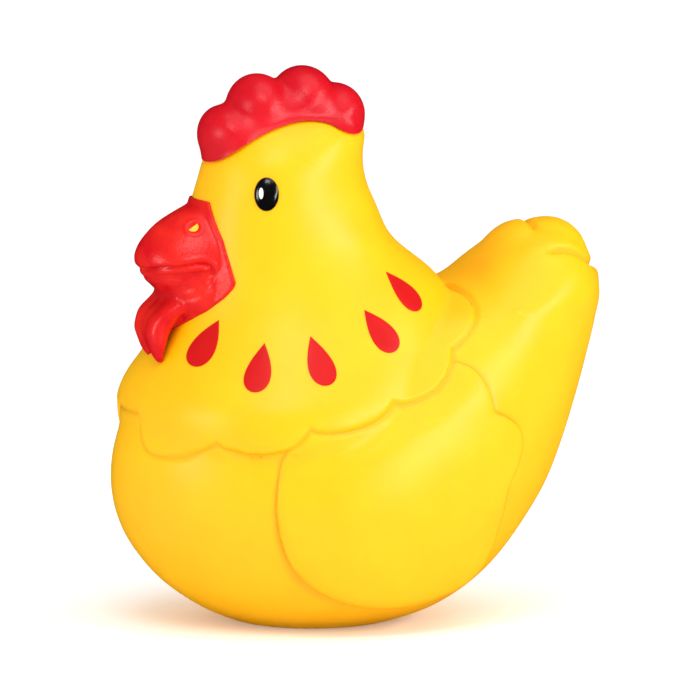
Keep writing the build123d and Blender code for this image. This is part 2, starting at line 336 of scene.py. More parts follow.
# Outline of the folded wing on the hen's left, as (y, z), with the height at which it stands out there.
WING_OUTLINE = (
    (-12.6, 33.0, 0.12), (-14.1, 29.4, 0.3), (-14.8, 26.3, 0.45), (-15.2, 21.8, 0.7), (-14.5, 17.6, 1.0),
    (-12.7, 13.2, 1.5), (-9.4, 9.6, 2.0), (-5.0, 7.0, 2.5), (-0.4, 5.6, 2.8), (5.8, 5.0, 2.8),
    (12.6, 5.8, 2.6), (18.0, 7.5, 2.3), (22.0, 10.9, 1.9), (23.1, 13.2, 1.6), (24.3, 18.6, 1.2),
    (25.1, 23.2, 0.95), (26.9, 26.6, 0.8), (27.8, 30.2, 0.7), (27.2, 32.5, 0.6), (25.0, 34.4, 0.5),
    (22.4, 35.6, 0.42),
)
WING_SHOULDER = (
    (22.4, 35.6, 0.42), (22.0, 38.0, 0.4), (21.2, 40.1, 0.4), (19.4, 42.5, 0.35), (16.5, 43.9, 0.3),
)


def to_side(curve, side):
    """Throws a (y, z, ...) curve on to the body's side, along X."""
    placed = []
    for y, z in curve[:, :2]:
        hit = skin.ray_cast(Vector((side * 60, y, z)) * MM, Vector((-side, 0, 0)))
        placed.append(hit[0] / MM)
    return np.array(placed)


wing_flat = np.vstack([flow(WING_OUTLINE, 0.1)[:-1], flow(WING_SHOULDER, 0.1)])
wing_edges = [to_side(wing_flat, side) for side in (1, -1)]

# Creases between the tail's feathers: one under the upper tuft, round the back, and one across the top.
TAIL_CREASE = (
    (10.0, 36.6, 58.9), (9.3, 40.0, 59.3), (8.6, 43.0, 58.4), (6.4, 46.0, 56.6),
    (3.2, 47.4, 55.8), (0.0, 47.8, 55.6),
)
TUFT_CREASE = ((4.6, 36.6, 61.6), (2.4, 37.0, 63.0), (0.0, 37.0, 63.4))


def both_halves(half):
    """A curve drawn to the middle plane, carried on to the other side."""
    whole = np.vstack([half, mirrored(half[:-1])[::-1]])
    return on_surface(skin, flow(whole, 0.15))[0]


tail_crease = both_halves(TAIL_CREASE)
tuft_crease = both_halves(TUFT_CREASE)

relief_curves = [cape_edge, *wing_edges, tail_crease, tuft_crease]
dense = copy_of(body, "dense")
worked(dense, "SUBSURF", levels=2)
finer_near(body, relief_curves, 2.4)
finer_near(body, relief_curves, 1.3)
worked(body, "SHRINKWRAP", target=dense, wrap_method="NEAREST_SURFACEPOINT")

points = points_of(body)
normals = normals_of(dense)
dense_tree = KDTree(len(dense.data.vertices))
for i, vertex in enumerate(dense.data.vertices):
    dense_tree.insert(vertex.co / MM, i)
dense_tree.balance()
normals = normals[[dense_tree.find(p)[1] for p in points]]
bpy.data.objects.remove(dense)

# The cape's space is told by the turn about the neck's axis, from the breast, and by the height.
CAPE_STEP = 0.45
NECK_Y = -5
turn = np.arctan2(cape_edge[:, 0], NECK_Y - cape_edge[:, 1])
turn[: len(right_edge)] = -np.abs(turn[: len(right_edge)])
turn[-len(left_edge) :] = np.abs(turn[-len(left_edge) :])
BACK_HEIGHT, OVER_HEAD = 55.4, 200
round_the_back = (
    (math.pi, BACK_HEIGHT), (math.pi, OVER_HEAD), (-math.pi, OVER_HEAD), (-math.pi, BACK_HEIGHT),
)
cape_field = np.vstack([np.stack([turn, cape_edge[:, 2]], 1)[::3], *round_the_back])


def inside_outline(flat_points, outline):
    """Which (y, z) points lie inside a closed outline."""
    inside = np.zeros(len(flat_points), bool)
    y, z = flat_points[:, 0], flat_points[:, 1]
    for a, b in zip(outline, np.roll(outline, -1, axis=0)):
        crosses = (a[1] > z) != (b[1] > z)
        if crosses.any():
            inside ^= crosses & (y < (b[0] - a[0]) * (z - a[1]) / (b[1] - a[1] + 1e-12) + a[0])
    return inside


distance = to_curve(points, cape_edge)[0]
turned = np.stack([np.arctan2(points[:, 0], NECK_Y - points[:, 1]), points[:, 2]], 1)
above = inside_outline(turned, cape_field)
# Behind the neck the edge runs nearly level, so there it is told by the distance back, across the width.
SADDLE_FRONT, SADDLE_FOOT = 14, 50.2
saddle = (points[:, 1] > SADDLE_FRONT) & (points[:, 2] > SADDLE_FOOT)
SADDLE_X = (0, 7.0, 11.4, 14.7, 17.0, 17.1)
SADDLE_Y = (19.3, 20.4, 22.2, 22.4, 21.6, 99)
SADDLE_MIDDLE = (0, 20, 57)
saddle_edge = np.interp(np.abs(points[:, 0]), SADDLE_X, SADDLE_Y)
above[saddle] = (points[:, 1] < saddle_edge)[saddle]
signed = np.where(above, distance, -distance)
breast_gap = np.linalg.norm(points - CAPE_BREAST_NOTCH, axis=1)
saddle_gap = np.linalg.norm(points - SADDLE_MIDDLE, axis=1)
# The step is bolder at the breast's notch and behind the neck, where a hollow parts the cape from the tail.
# Each bump or dip is placed by its distance from the edge, in mm, and divided by its width.
boldness = 0.75 + 0.7 * np.exp(-((breast_gap / 8) ** 2)) + 1.6 * np.exp(-((saddle_gap / 8) ** 2))
swell = CAPE_STEP * ease((signed + 0.35) / 1.1) * (1 - ease((signed - 3) / 16))
groove = -0.28 * np.exp(-(((signed + 0.3) / 0.45) ** 2))
valley = np.exp(-(((points[:, 1] - 22.4) / 1.7) ** 2) - (points[:, 0] / 8) ** 2) * (points[:, 2] > 50)
hollow = np.exp(-(((points[:, 1] - 25.4) / 2.6) ** 2) - (points[:, 0] / 12) ** 2) * (points[:, 2] > 50)
relief = (swell + groove) * boldness - 0.4 * valley - 0.9 * hollow
# Painted shade: a dark line along the cape's edge, kept in the crease attribute with the wing and tail lines
# below.
painted_shade = np.exp(-(((signed + 0.25) / 0.3) ** 2))
WING_FROM = 6  # a wing lies further out than this

# A wing swells inwards from its edge to the height that its edge's points give, with a dip along its foot.
for side, edge in zip((1, -1), wing_edges):
    mine = points[:, 0] * side > WING_FROM
    p = points[mine]
    away, _ = to_curve(p, edge)
    height = np.zeros(len(p))
    weight = np.zeros(len(p))
    for q, h in zip(edge[::10], wing_flat[::10, 2]):
        w = 1 / (((p - q) ** 2).sum(1) + 0.05) ** 1.5
        height += w * h
        weight += w
    height /= weight
    inside = inside_outline(p[:, 1:], wing_flat[::5, :2])
    rise = np.clip(away / (1.1 + 1.1 * height), 0, 1)
    pad = height * np.sqrt(1 - (1 - rise) ** 2)
    foot = -(0.12 + 0.17 * height) * np.exp(-((away / (0.5 + 0.35 * height)) ** 2))
    below_cape = 1 - ease((signed[mine] + 0.6) / 1.2)
    relief[mine] += np.where(inside, pad * ease(-signed[mine] / 6), foot * below_cape)
    # Painted shade: a dark line along the wing's edge, and a soft painted shadow that fades out below the
    # wing.
    painted_wing_edge_shade = np.exp(-((np.where(inside, away, away - 0.15) / 0.3) ** 2))
    painted_shadow_under_wing = np.where(inside, 0, np.exp(-away / 2.2)) * np.clip(height / 2.8, 0, 1)
    painted_shade[mine] = np.maximum(painted_shade[mine], np.maximum(painted_wing_edge_shade, 0.4 * painted_shadow_under_wing) * below_cape)

# Each crease is cut into the skin, and its bottom gets a dark line of painted shade.
for crease, depth, width in ((tail_crease, 1.0, 0.75), (tuft_crease, 0.7, 0.65)):
    away, where = to_curve(points, crease)
    to_end = np.minimum(where, len(crease) - 1 - where) * 0.15
    fade = ease((to_end + 0.6) / 3)
    relief -= depth * fade * np.exp(-((away / width) ** 2))
    painted_shade = np.maximum(painted_shade, 0.8 * fade * np.exp(-((away / 0.4) ** 2)))

points += normals * relief[:, None]
points[:, 2] = np.maximum(points[:, 2], 0)
on_floor = (points[:, 2] < 1.2) & (np.hypot(points[:, 0], points[:, 1]) < FLOOR_RADIUS)
points[on_floor, 2] = 0
set_points(body, points)
painted_shade_attribute = body.data.attributes.new("crease", "FLOAT", "POINT")  # 1 where shade is painted fully, in the edge lines and the creases' bottoms; the painted shadow under the wings reaches 0.4
painted_shade_attribute.data.foreach_set("value", painted_shade)
outer_skin = surface_of(body)
solid_hen = copy_of(body, "solid_hen")

# The cavity keeps the wall's thickness from the skin; the bore and the recess take the squeaker's own size.
cavity = oval_stack("cavity", NECK_OVALS)
cavity = joined("cavity", [cavity, oval_stack("cavity_torso", TORSO_OVALS)])
CAVITY_VOXEL = 1.3
worked(cavity, "REMESH", mode="VOXEL", voxel_size=CAVITY_VOXEL * MM)
worked(cavity, "SMOOTH", factor=0.5, iterations=10)
set_points(cavity, points_of(cavity) - normals_of(cavity) * WALL)
worked(cavity, "REMESH", mode="VOXEL", voxel_size=CAVITY_VOXEL * MM)
worked(cavity, "SMOOTH", factor=0.5, iterations=4)
flange_low, flange_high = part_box("squeaker_barrel")
FLANGE_RADIUS = flange_high.x / MM
BARREL_TOP = flange_high.z / MM
BARREL_RADIUS = 6.0
FLANGE_THICKNESS = 1.2
FLANGE_TOP = flange_low.z / MM + FLANGE_THICKNESS
FLANGE_GAP = 0.3
BORE_GAP = 0.05
BORE_SHORT = 4  # the bore stops this far below the barrel's top, well inside the cavity


def drum(name, radius, low, high, around=96):
    """Closed cylinder on the squeaker's axis."""
    turn = np.linspace(0, 2 * math.pi, around, endpoint=False)
    ring = np.stack([radius * np.cos(turn), radius * np.sin(turn), np.zeros(around)], 1)
    return tube(name, [ring + (0, 0, low), ring + (0, 0, high)])


def cut(piece, tool):
    """Takes a tool's space out of a piece, and the tool is used up."""
    worked(piece, "BOOLEAN", operation="DIFFERENCE", solver="MANIFOLD", object=tool)
    bpy.data.objects.remove(tool)


cut(body, cavity)
cut(body, drum("recess", FLANGE_RADIUS + FLANGE_GAP, -1, FLANGE_TOP))
cut(body, drum("bore", BARREL_RADIUS + BORE_GAP, -1, BARREL_TOP - BORE_SHORT))
smooth_shaded(body, 50)



def mottled(name, colour, other_colour, patch, roughness, roughness_range, grain, grain_height):
    """Material whose colour and gloss wander a little, with a fine grain. Patch and grain sizes are in mm."""
    material = bpy.data.materials.new(name)
    material.use_nodes = True
    nodes, links = material.node_tree.nodes, material.node_tree.links
    shader = nodes["Principled BSDF"]
    place = nodes.new("ShaderNodeTexCoord")
    broad = nodes.new("ShaderNodeTexNoise")
    broad.inputs["Scale"].default_value = 1000 / patch
    broad.inputs["Detail"].default_value = 3
    links.new(place.outputs["Object"], broad.inputs["Vector"])
    ramp = nodes.new("ShaderNodeValToRGB")
    ramp.color_ramp.elements[0].position = 0.35
    ramp.color_ramp.elements[0].color = colour
    ramp.color_ramp.elements[1].position = 0.7
    ramp.color_ramp.elements[1].color = other_colour
    links.new(broad.outputs["Fac"], ramp.inputs["Fac"])
    links.new(ramp.outputs["Color"], shader.inputs["Base Color"])
    fine = nodes.new("ShaderNodeTexNoise")
    fine.inputs["Scale"].default_value = 1000 / grain
    fine.inputs["Detail"].default_value = 4
    links.new(place.outputs["Object"], fine.inputs["Vector"])
    gloss = nodes.new("ShaderNodeMapRange")
    gloss.inputs["To Min"].default_value = roughness - roughness_range
    gloss.inputs["To Max"].default_value = roughness + roughness_range
    links.new(broad.outputs["Fac"], gloss.inputs["Value"])
    links.new(gloss.outputs["Result"], shader.inputs["Roughness"])
    bump = nodes.new("ShaderNodeBump")
    bump.inputs["Distance"].default_value = grain_height * MM
    links.new(fine.outputs["Fac"], bump.inputs["Height"])
    links.new(bump.outputs["Normal"], shader.inputs["Normal"])
    return material, shader


def finished(piece, material, slot, *nodes):
    """Gives a piece its material and its body, and hides the CAD nodes that it stands for. The slot is not
    used.
    """
    piece.data.materials.clear()
    piece.data.materials.append(material)
    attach(piece, "body")
    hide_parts(*nodes)


yellow_vinyl, shader = mottled(
    "yellow_vinyl", (1.0, 0.49, 0.0, 1), (1.0, 0.52, 0.0, 1),
    patch=9, roughness=0.38, roughness_range=0.05, grain=0.5, grain_height=0.012,
)
shader.inputs["Specular IOR Level"].default_value = 0.35
nodes, links = yellow_vinyl.node_tree.nodes, yellow_vinyl.node_tree.links
# Painted shade: the crease attribute mixes the yellow towards a deeper orange in the edge lines, the creases
# and under the wings.
crease_shade = nodes.new("ShaderNodeAttribute")
crease_shade.attribute_name = "crease"
painted_shade_amount = nodes.new("ShaderNodeMapRange")
painted_shade_amount.inputs["To Max"].default_value = 0.42
links.new(crease_shade.outputs["Fac"], painted_shade_amount.inputs["Value"])
painted_shade_mix = nodes.new("ShaderNodeMix")
painted_shade_mix.data_type = "RGBA"
painted_shade_mix.inputs["B"].default_value = (0.70, 0.33, 0.0, 1)
links.new(painted_shade_amount.outputs["Result"], painted_shade_mix.inputs["Factor"])
links.new(shader.inputs["Base Color"].links[0].from_socket, painted_shade_mix.inputs["A"])
links.new(painted_shade_mix.outputs["Result"], shader.inputs["Base Color"])
shader.inputs["Subsurface Weight"].default_value = 0.2
shader.inputs["Subsurface Radius"].default_value = (1.0, 0.4, 0.05)
shader.inputs["Subsurface Scale"].default_value = 2.0 * MM
finished(body, yellow_vinyl, "yellow_vinyl", "body_shell")

# ---------------------------------------------------------------- comb
# A separate moulding of glossy red vinyl: four lobes that rise out of one thick band. It straddles the head,
# is seated on it all round, and its lower edge is a crisp step on the yellow.

COMB_LOBES = (  # centre as (y, z) and half sizes
    ((-15.0, 79.2), (4.25, 4.9)),
    ((-9.3, 83.3), (5.1, 5.6)),
    ((-1.6, 84.2), (5.3, 5.7)),
    ((3.9, 81.8), (4.8, 5.1)),
)
COMB_BAND = (
    (-15.6, 76.6), (-12.8, 79.0), (-9.2, 80.8), (-5.2, 81.9), (-1.0, 82.2), (2.6, 81.2), (5.0, 79.8),
)
COMB_BAND_HALF = (3.0, 4.1)
COMB_LOWER_EDGE = (
    (-24.0, 74.4), (-18.4, 75.0), (-17.4, 75.6), (-16.1, 76.7), (-14.5, 77.9), (-12.7, 79.0), (-8.1, 81.0),
    (-3.2, 81.8), (0.3, 81.2), (2.7, 79.9), (4.9, 79.3), (6.6, 79.5), (7.9, 80.4), (14.0, 84.0),
)
COMB_HALF_WIDTH = 6.8
COMB_ROUNDING = 6.2
COMB_OVER_HEAD = 0.5
COMB_FILLET = 0.7
COMB_VOXEL = 0.4
COMB_FINE_VOXEL = 0.34
UNDER_COMB_HALF = 14
POINTS_AT_ONCE = 4000  # keeps the table of distances small

# A slab with the comb's side view is rounded off: its half width grows with the depth inside the outline, so
# that the grooves start at the notches and fade downwards. At its foot it stays a little wider than the head.
around = np.linspace(0, 2 * math.pi, 360, endpoint=False)
shapes = [(np.array(centre), np.array(half)) for centre, half in COMB_LOBES]
shapes += [(centre, np.array(COMB_BAND_HALF)) for centre in flow(COMB_BAND, 1.5)]
rounds = [centre + half * np.stack([np.cos(around), np.sin(around)], 1) for centre, half in shapes]
slabs = []
for ring in rounds:
    sides = [np.insert(ring, 0, x, axis=1) for x in (-COMB_HALF_WIDTH, COMB_HALF_WIDTH)]
    slabs.append(tube("comb_slab", sides))
comb = joined("vinyl_comb", slabs)
worked(comb, "REMESH", mode="VOXEL", voxel_size=COMB_VOXEL * MM)
outline = np.vstack(rounds)
for centre, half in shapes:
    outline = outline[(((outline - centre) / half) ** 2).sum(1) > 0.999]
points = points_of(comb)
depth = np.empty(len(points))
for start in range(0, len(points), POINTS_AT_ONCE):
    some = points[start : start + POINTS_AT_ONCE, None, 1:]
    depth[start : start + POINTS_AT_ONCE] = np.sqrt(((some - outline) ** 2).sum(2).min(1))
rounded = COMB_HALF_WIDTH * np.sqrt(1 - (1 - np.clip(depth / COMB_ROUNDING, 0, 1)) ** 2)
head_reach = np.zeros(len(points))
for i, (x, y, z) in enumerate(points):
    place = outer_skin.ray_cast(Vector((30, y, z)) * MM, Vector((-1, 0, 0)))[0]
    if place:
        head_reach[i] = place.x / MM + COMB_OVER_HEAD
reach = COMB_FILLET * np.logaddexp(rounded / COMB_FILLET, head_reach / COMB_FILLET)
points[:, 0] *= reach / COMB_HALF_WIDTH
set_points(comb, points)
worked(comb, "REMESH", mode="VOXEL", voxel_size=COMB_FINE_VOXEL * MM)
worked(comb, "SMOOTH", factor=0.5, iterations=28)


def prism(name, outline, half_width):
    """Closed block whose side view is a (y, z) outline, from one side of the hen to the other."""
    outline = np.asarray(outline, float) * STRETCH[1:]
    return tube(name, [np.insert(outline, 0, x, axis=1) for x in (-half_width, half_width)])


under_comb = np.vstack([flow(COMB_LOWER_EDGE, 0.4), (14.0, 60.0), (-24.0, 60.0)])
cut(comb, copy_of(solid_hen, "head_space"))
cut(comb, prism("under_comb", under_comb[::-1], UNDER_COMB_HALF))
smooth_shaded(comb, 48)

red_vinyl, shader = mottled(
    "red_vinyl", (0.56, 0.001, 0.010, 1), (0.66, 0.004, 0.012, 1),
    patch=7, roughness=0.31, roughness_range=0.05, grain=0.33, grain_height=0.045,
)
shader.inputs["Specular IOR Level"].default_value = 0.45
shader.inputs["Specular Tint"].default_value = (1.0, 0.75, 0.78, 1)
shader.inputs["Subsurface Weight"].default_value = 0.12
shader.inputs["Subsurface Radius"].default_value = (1.0, 0.12, 0.08)
shader.inputs["Subsurface Scale"].default_value = 1.2 * MM
finished(comb, red_vinyl, "red_vinyl", "comb")

# ---------------------------------------------------------------- beak and wattles
# One glossy red moulding: a hooked upper beak, a lower beak with a raised lip, two pointed wattles and a thin
# cheek plate with crisp edges that lies on the head.

UPPER_BEAK = (  # height, front, back, half width
    (69.5, -18.0, -11, 2.8),
    (68.6, -20.1, -10, 4.4),
    (67.7, -21.8, -10, 5.2),
    (66.7, -23.8, -9, 5.7),
    (65.2, -26.3, -8, 6.5),
    (63.2, -28.3, -7, 7.8),
    (61.5, -29.5, -6, 8.6),
    (60.1, -30.0, -6, 9.1),
    (59.0, -29.9, -6, 9.2),
    (58.2, -29.2, -6, 8.8),
    (57.8, -28.0, -6, 7.8),
)
LOWER_BEAK = (
    (58.6, -27.6, -8, 7.9),
    (57.9, -28.6, -8, 8.6),
    (57.0, -28.8, -8, 8.8),
    (55.6, -27.6, -9, 8.6),
    (54.2, -26.1, -10, 8.0),
    (52.6, -24.9, -12, 6.5),
    (50.8, -24.4, -13, 5.4),
    (49.6, -23.6, -14, 4.0),
)
LEFT_WATTLE = (  # height, front, back, half width, middle
    (54.2, -25.2, -20.0, 2.6, 3.4),
    (52.6, -26.6, -21.4, 2.9, 3.6),
    (51.2, -28.2, -23.0, 2.8, 3.5),
    (49.6, -29.2, -24.6, 2.6, 3.2),
    (48.0, -29.6, -25.6, 2.5, 3.2),
    (46.5, -29.4, -26.2, 2.3, 3.5),
    (45.2, -29.0, -26.7, 1.9, 3.9),
    (44.2, -28.6, -27.0, 1.3, 4.4),
    (43.3, -28.1, -27.3, 0.6, 4.9),
)
RIGHT_WATTLE = (
    (54.2, -25.2, -20.0, 2.6, -3.4),
    (52.6, -26.6, -21.4, 2.9, -3.6),
    (51.2, -28.2, -23.0, 2.8, -3.5),
    (49.6, -28.9, -24.6, 2.6, -3.2),
    (48.0, -29.2, -25.6, 2.4, -3.0),
    (46.5, -28.8, -26.2, 2.1, -2.4),
    (45.2, -28.5, -26.5, 1.6, -1.9),
    (44.3, -28.0, -26.7, 1.1, -1.5),
    (43.6, -27.6, -26.9, 0.5, -1.2),
)
WATTLE_WEB = (
    (53.2, -25.8, -20.5, 3.2, 0.0),
    (51.0, -27.9, -23.2, 3.4, 0.0),
    (49.2, -28.8, -24.9, 3.3, 0.1),
    (47.4, -28.9, -25.9, 2.9, 0.4),
    (46.0, -28.5, -26.4, 2.3, 0.8),
    (45.0, -28.0, -26.7, 1.4, 1.2),
)
CHEEK_EDGE = (  # height, and how far the plate reaches round the head from the front, in degrees
    (47.7, 1.0), (48.3, 7.7), (50.1, 18.5), (52.0, 28.8), (54.1, 37.8), (55.7, 42.4),
    (56.6, 43.6), (57.6, 42.0), (63.1, 32.9), (69.0, 17.2),
)
THROAT = ((0, -19.4, 54.0), (9.8, 6.7, 5.6))
CHEEK_THICKNESS = 0.45
CHEEK_SINK = 1.2
OUTSIDE = 60  # well clear of the head
BEAK_VOXEL = 0.26


def cheek_plate():
    """Thin closed plate on the head between the cheek edge on each side, and the points of its rim."""
    heights, reaches = np.array(CHEEK_EDGE).T
    rings, rim = [], []
    for z in np.linspace(heights[0], heights[-1], 90):
        reach = math.radians(np.interp(z, heights, reaches))
        outside, inside = [], []
        for a in np.linspace(-reach, reach, 60):
            start = Vector((math.sin(a) * OUTSIDE, NECK_Y - math.cos(a) * OUTSIDE, z)) * MM
            place, normal, *_ = outer_skin.ray_cast(start, Vector((-math.sin(a), math.cos(a), 0)))
            outside.append(place / MM + normal * CHEEK_THICKNESS)
            inside.append(place / MM - normal * CHEEK_SINK)
        rings.append(outside + inside[::-1])
        rim += [outside[0], outside[-1]]
    return tube("cheek_plate", rings), rim + rings[-1][:60]


BEAK_FORMS = (UPPER_BEAK, LOWER_BEAK, LEFT_WATTLE, RIGHT_WATTLE, WATTLE_WEB)
beak_forms = [oval_stack("beak_form", rows) for rows in BEAK_FORMS]
beak_forms += [egg("throat", *THROAT)]
plate, cheek_rim = cheek_plate()
beak = joined("vinyl_beak_and_wattles", [plate] + beak_forms)
worked(beak, "REMESH", mode="VOXEL", voxel_size=BEAK_VOXEL * MM)
# All but the plate's crisp rim is smoothed, so that beak, jaw and wattles run into the plate in fillets.
rested = points_of(beak)
to_rim, _ = to_curve(rested, np.vstack(cheek_rim))
hold = (1 - ease((to_rim - 0.5) / 1.2))[:, None] * 0.85
worked(beak, "SMOOTH", factor=0.5, iterations=22)
set_points(beak, rested * hold + points_of(beak) * (1 - hold))
worked(beak, "SMOOTH", factor=0.5, iterations=2)

# The mouth runs round the beak as (y, z) on each side. The lip stands up under it, and each nostril is a dent.
MOUTH = (
    (-30.2, 58.0), (-29.4, 58.1), (-28.0, 58.6), (-25.4, 59.0), (-23.1, 59.5),
    (-21.8, 59.7), (-20.6, 59.2), (-20.1, 58.4), (-20.0, 57.6),
)
JAW_FOLD = ((-20.2, 56.6), (-21.4, 55.2), (-23.0, 54.2), (-24.6, 53.6))
NOSTRIL = (-22.1, 65.1)
beak_skin = surface_of(beak)


def on_beak(flat, side):
    """Throws a (y, z) curve on to the beak's side, along X."""
    found = [beak_skin.ray_cast(Vector((side * 30, y, z)) * MM, Vector((-side, 0, 0)))[0] for y, z in flat]
    return np.array([place / MM for place in found if place])


points = points_of(beak)
relief = np.zeros(len(points))
for side in (1, -1):
    mine = points[:, 0] * side > -0.3
    p = points[mine]
    mouth = on_beak(flow(MOUTH, 0.08), side)
    away, where = to_curve(p, mouth)
    to_corner = ease((len(mouth) - 1 - where) * 0.08 / 2.5)
    below = np.where(p[:, 2] < mouth[where, 2], away, -away)
    lips = -0.55 * np.exp(-((away / 0.3) ** 2)) * (0.5 + 0.5 * to_corner)
    lips += 0.26 * np.exp(-(((below - 0.85) / 0.42) ** 2)) * to_corner
    lips += 0.12 * np.exp(-(((below + 0.7) / 0.4) ** 2)) * to_corner
    lips -= 0.16 * np.exp(-(((below - 1.8) / 0.5) ** 2)) * to_corner
    fold = to_curve(p, on_beak(flow(JAW_FOLD, 0.08), side))[0]
    lips -= 0.22 * np.exp(-((fold / 0.6) ** 2))
    nostril = on_beak([NOSTRIL], side)[0]
    gap = np.linalg.norm(p - nostril, axis=1)
    lips += 0.16 * np.exp(-(((gap - 1.35) / 0.35) ** 2)) - 0.3 * np.exp(-((gap / 0.8) ** 4))
    relief[mine] += lips
set_points(beak, points + normals_of(beak) * relief[:, None])
worked(beak, "SMOOTH", factor=0.4, iterations=1)
beak_skin = surface_of(beak)
cut(beak, solid_hen)
smooth_shaded(beak, 50)
beak_red, shader = mottled(
    "beak_red_vinyl", (0.62, 0.003, 0.008, 1), (0.80, 0.020, 0.010, 1),
    patch=6, roughness=0.25, roughness_range=0.06, grain=0.33, grain_height=0.05,
)
shader.inputs["Specular IOR Level"].default_value = 0.45
shader.inputs["Specular Tint"].default_value = (1.0, 0.75, 0.78, 1)
shader.inputs["Subsurface Weight"].default_value = 0.15
shader.inputs["Subsurface Radius"].default_value = (1.0, 0.15, 0.06)
shader.inputs["Subsurface Scale"].default_value = 1.2 * MM
finished(beak, beak_red, "red_vinyl", "beak_and_wattles")

# ---------------------------------------------------------------- nostrils
# A small half-moon in each side of the upper beak, where the red leaves the yellow bare, under clear lacquer.
# It is modelled as a thin film of its own, in the dent.


def film(name, surface, centre, up, outline, *, edge, rise, sink=0.12, rings=12):
    """Thin closed pad that follows a surface. Its flat outline is (across, up) from the centre. Its rim is
    edge high, its middle rises by rise more, and its underside is sunk into the surface."""
    outline = np.asarray(outline, float)
    place, normal, *_ = surface.find_nearest(Vector(centre) * MM)
    place = place / MM
    upward = Vector(up)
    upward = (upward - upward.dot(normal) * normal).normalized()
    across = upward.cross(normal)
    stack = []
    levels = [(share, None) for share in np.linspace(0.04, 1, rings // 2)]
    for share in np.sin(np.linspace(math.pi / 2, 0.04, rings)):
        levels.append((share, edge + rise * math.sqrt(max(0.0, 1 - share * share))))
    for share, height in levels:
        ring = []
        for a, b in (outline * share).tolist():
            start = place + a * across + b * upward + 3 * normal
            hit, turned, *_ = surface.ray_cast(start * MM, -normal)
            if hit is None:
                hit, turned, *_ = surface.find_nearest((start - 3 * normal) * MM)
            ring.append(hit / MM + turned * (-sink if height is None else height))
        stack.append(ring)
    return tube(name, stack)


NOSTRIL_UP = (0, -0.65, 1)
half_moon = [(0.88 * math.cos(a), -0.88 * math.sin(a)) for a in np.linspace(0, math.pi, 22)]
half_moon += [(x, 0.10 * math.cos(x / 0.75 * math.pi / 2)) for x in np.linspace(-0.7, 0.7, 10)]
nostril_yellow, shader = mottled(
    "nostril_yellow", (0.95, 0.50, 0.01, 1), (1.0, 0.6, 0.02, 1),
    patch=1.0, roughness=0.2, roughness_range=0.05, grain=0.3, grain_height=0.01,
)
for side, word in ((1, "left"), (-1, "right")):
    centre = on_beak([NOSTRIL], side)[0]
    shape = np.array(half_moon) * (side, 1)
    nostril = film(word + "_nostril_spot", beak_skin, centre, NOSTRIL_UP, shape, edge=0.05, rise=0.12)
    smooth_shaded(nostril, 50)
    finished(nostril, nostril_yellow, "yellow_print", word + "_nostril")

# ---------------------------------------------------------------- eyes
# Domed ovals of thick black lacquer, one on each side of the head, each with a white oval spot printed on it.

EYE_CENTRE = (11.3, -11.8, 70.75)
EYE_TOP = (-0.55, 0.2, 2.7)
EYE_HALF = (1.98, 2.72)
GLINT_CENTRE = (11.4, -12.73, 70.95)
GLINT_HALF = (0.37, 0.9)


def oval(half, count=56):
    """Points of a flat oval."""
    turn = np.linspace(0, 2 * math.pi, count, endpoint=False)
    return [(half[0] * math.cos(a), half[1] * math.sin(a)) for a in turn]


black_lacquer, shader = mottled(
    "black_lacquer", (0.002, 0.002, 0.002, 1), (0.004, 0.004, 0.0045, 1),
    patch=2.0, roughness=0.16, roughness_range=0.03, grain=0.4, grain_height=0.004,
)
shader.inputs["Coat Weight"].default_value = 0.3
shader.inputs["Coat Roughness"].default_value = 0.2
white_lacquer, shader = mottled(
    "white_lacquer", (0.92, 0.92, 0.90, 1), (0.97, 0.97, 0.96, 1),
    patch=1.0, roughness=0.25, roughness_range=0.03, grain=0.3, grain_height=0.003,
)
for side, word in ((1, "left"), (-1, "right")):
    to = np.array((side, 1, 1))
    centre, top = EYE_CENTRE * to, EYE_TOP * to
    eye = film(
        word + "_eye_dome", outer_skin, centre, top, oval(EYE_HALF), edge=0.05, rise=0.62, sink=0.3, rings=24
    )
    smooth_shaded(eye, 60)
    finished(eye, black_lacquer, "black_print", word + "_eye")
    centre, shape = GLINT_CENTRE * to, oval(GLINT_HALF, 36)
    dome = surface_of(eye)
    glint = film(word + "_eye_spot", dome, centre, top, shape, edge=0.03, rise=0.03, sink=0.1)
    smooth_shaded(glint, 60)
    finished(glint, white_lacquer, "white_print", word + "_eye_glint")

# ---------------------------------------------------------------- hackle drops
# Ten printed drops of red ink, one on each feather of the cape, with the point up. The ink is a thin raised
# film.

DROPS = (  # point, bottom and half width of each on the hen's left, from the breast to the back
    ((11.3, -19.9, 50.8), (11.2, -24.5, 43.6), 2.65),
    ((18.0, -14.5, 47.7), (21.7, -17.7, 40.4), 2.2),
    ((20.3, -7.6, 48.8), (25.3, -6.4, 41.4), 2.2),
    ((19.1, 2.0, 52.4), (22.1, 6.2, 45.9), 2.4),
    ((14.4, 7.6, 57.9), (16.4, 12.5, 51.6), 2.4),
)
red_ink, shader = mottled(
    "red_ink", (0.55, 0.005, 0.006, 1), (0.60, 0.007, 0.006, 1),
    patch=4, roughness=0.34, roughness_range=0.04, grain=0.35, grain_height=0.008,
)
shader.inputs["Specular IOR Level"].default_value = 0.15
for side, word in ((1, "left"), (-1, "right")):
    for number, (point, bottom, half) in enumerate(DROPS, 1):
        to = np.array((side, 1, 1))
        point, bottom = point * to, bottom * to
        length = np.linalg.norm(point - bottom)
        shape = []
        for a in np.linspace(0, 2 * math.pi, 64, endpoint=False):
            fat = math.sin(a) * abs(math.sin(a / 2)) ** 1.15 / 0.75
            shape.append((half * fat, length / 2 * math.cos(a)))
        centre, upward = (point + bottom) / 2, point - bottom
        drop_name = word + "_drop_" + str(number)
        drop = film(drop_name, outer_skin, centre, upward, shape, edge=0.07, rise=0.05, sink=0.15)
        smooth_shaded(drop, 50)
        finished(drop, red_ink, "red_print", word + "_hackle_drop_" + str(number))

